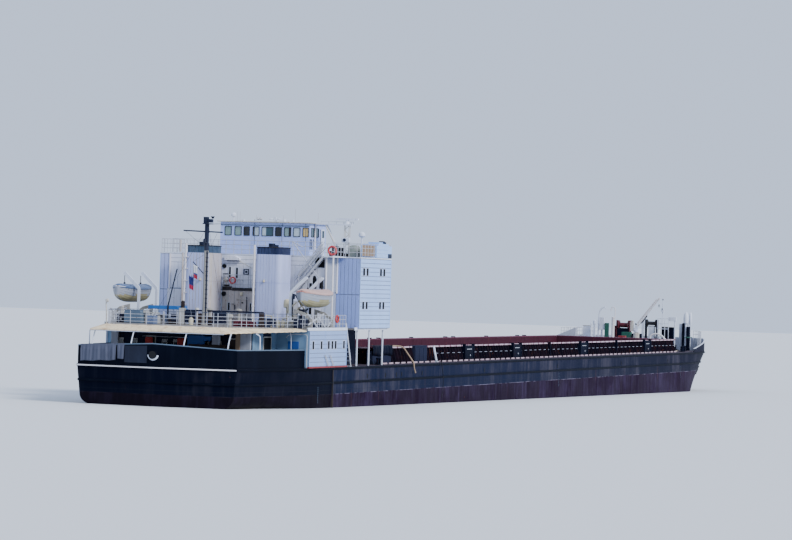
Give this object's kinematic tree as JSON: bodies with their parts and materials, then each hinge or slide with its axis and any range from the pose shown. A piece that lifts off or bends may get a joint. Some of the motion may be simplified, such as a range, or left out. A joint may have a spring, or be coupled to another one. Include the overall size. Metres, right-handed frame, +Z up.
{
  "type": "river cargo barge, self-propelled, 1:10 scale model",
  "caption": "Long flat-bottomed self-propelled river cargo barge with open hold, aft deckhouses, funnels, lifeboats on davits and foredeck crane, as a 1:10 scale model.",
  "frame": {"origin": "on the flat bottom, below the middle of the length, on the centreline", "axes": "+X towards the bow, +Y to port, +Z up"},
  "size_m": [13.831, 1.695, 1.7605],
  "materials": {
    "hull_paint": "weathered",
    "coaming_paint": "weathered",
    "white_paint": "satin",
    "tan_paint": "satin",
    "navy_paint": "satin",
    "lifeboat_shell": "satin",
    "rail_steel": "satin",
    "red_paint": "satin",
    "beige_paint": "satin",
    "bare_steel": "rough",
    "bronze": "satin",
    "mast_paint": "satin",
    "hose_rubber": "matte",
    "rope_fibre": "matte"
  },
  "bodies": {
    "hull": {"hull": "hull_paint", "hold_coaming": "coaming_paint", "stern_bulwark": "hull_paint", "bow_bulwark": "hull_paint", "main_deckhouse": "white_paint", "boat_deck": "tan_paint", "tier_two_house": "white_paint", "tier_three_house": "white_paint", "bridge_deck": "white_paint", "bridge_rail": "rail_steel", "wheelhouse": "white_paint", "wheelhouse_roof": "white_paint", "aft_mast": "mast_paint", "bridge_stair": "white_paint", "radar_platform": "white_paint", "windlass": "red_paint", "fore_hatches": "beige_paint", "crane_pedestal": "white_paint", "fore_mast": "white_paint", "fore_davit": "white_paint", "hose_reel": "white_paint", "cowl_vent_1": "white_paint", "cowl_vent_2": "white_paint", "cowl_vent_3": "white_paint", "cowl_vent_4": "white_paint", "cowl_vent_5": "white_paint", "side_house_port": "white_paint", "boat_deck_rail_port": "rail_steel", "tower_port": "white_paint", "funnel_port": "navy_paint", "davit_frame_port": "white_paint", "deck_ladder_port": "white_paint", "bow_rail_port": "rail_steel", "nozzle_port": "bare_steel", "anchor_port": "bare_steel", "side_house_starboard": "white_paint", "boat_deck_rail_starboard": "rail_steel", "tower_starboard": "white_paint", "funnel_starboard": "navy_paint", "davit_frame_starboard": "white_paint", "deck_ladder_starboard": "white_paint", "bow_rail_starboard": "rail_steel", "nozzle_starboard": "bare_steel", "anchor_starboard": "bare_steel", "pump_hose": "hose_rubber", "rope_end": "rope_fibre"},
    "propeller_port": {"propeller_port": "bronze"},
    "rudder_port": {"rudder_port": "bare_steel"},
    "davit_arms_port": {"davit_arms_port": "white_paint"},
    "lifeboat_port": {"lifeboat_port": "lifeboat_shell"},
    "sliding_door_port": {"sliding_door_port": "white_paint"},
    "propeller_starboard": {"propeller_starboard": "bronze"},
    "rudder_starboard": {"rudder_starboard": "bare_steel"},
    "davit_arms_starboard": {"davit_arms_starboard": "white_paint"},
    "lifeboat_starboard": {"lifeboat_starboard": "lifeboat_shell"},
    "sliding_door_starboard": {"sliding_door_starboard": "white_paint"},
    "radar_scanner": {"radar_scanner": "white_paint"},
    "crane_column": {"crane_column": "beige_paint"},
    "crane_boom": {"crane_boom": "beige_paint"}
  },
  "joints": [
    {"name": "propeller_port_spin", "type": "hinge", "parent": "hull", "child": "propeller_port", "pos_m": [-6.295, 0.33, 0.115], "axis": [1, 0, 0], "continuous": true},
    {"name": "rudder_port_turn", "type": "hinge", "parent": "hull", "child": "rudder_port", "pos_m": [-6.405, 0.33, 0.14], "axis": [0, 0, 1], "range_deg": [-35, 35]},
    {"name": "davit_port_swing", "type": "hinge", "parent": "hull", "child": "davit_arms_port", "pos_m": [-5.635, 0.62, 0.895], "axis": [-1, 0, 0], "range_deg": [0, 65]},
    {"name": "lifeboat_port_level", "type": "hinge", "parent": "davit_arms_port", "child": "lifeboat_port", "pos_m": [-5.635, 0.745, 1.215], "axis": [1, 0, 0], "range_deg": [0, 65]},
    {"name": "wheelhouse_door_port_slide", "type": "slide", "parent": "hull", "child": "sliding_door_port", "axis": [-1, 0, 0], "range_m": [0, 0.072]},
    {"name": "propeller_starboard_spin", "type": "hinge", "parent": "hull", "child": "propeller_starboard", "pos_m": [-6.295, -0.33, 0.115], "axis": [1, 0, 0], "continuous": true},
    {"name": "rudder_starboard_turn", "type": "hinge", "parent": "hull", "child": "rudder_starboard", "pos_m": [-6.405, -0.33, 0.14], "axis": [0, 0, 1], "range_deg": [-35, 35]},
    {"name": "davit_starboard_swing", "type": "hinge", "parent": "hull", "child": "davit_arms_starboard", "pos_m": [-5.635, -0.62, 0.895], "axis": [1, 0, 0], "range_deg": [0, 65]},
    {"name": "lifeboat_starboard_level", "type": "hinge", "parent": "davit_arms_starboard", "child": "lifeboat_starboard", "pos_m": [-5.635, -0.745, 1.215], "axis": [-1, 0, 0], "range_deg": [0, 65]},
    {"name": "wheelhouse_door_starboard_slide", "type": "slide", "parent": "hull", "child": "sliding_door_starboard", "axis": [-1, 0, 0], "range_m": [0, 0.072]},
    {"name": "radar_spin", "type": "hinge", "parent": "hull", "child": "radar_scanner", "pos_m": [-4.715, -0.645, 1.67], "axis": [0, 0, 1], "continuous": true},
    {"name": "crane_slew", "type": "hinge", "parent": "hull", "child": "crane_column", "pos_m": [5.845, -0.11, 0.75], "axis": [0, 0, 1], "range_deg": [-170, 170]},
    {"name": "crane_luff", "type": "hinge", "parent": "crane_column", "child": "crane_boom", "pos_m": [5.845, -0.11, 0.8], "axis": [-1, 0, 0], "range_deg": [-45, 25]}
  ],
  "couplings": [
    {"joint": "lifeboat_port_level", "follows": "davit_port_swing", "ratio": 1},
    {"joint": "lifeboat_starboard_level", "follows": "davit_starboard_swing", "ratio": 1},
    {"joint": "rudder_starboard_turn", "follows": "rudder_port_turn", "ratio": 1}
  ]
}
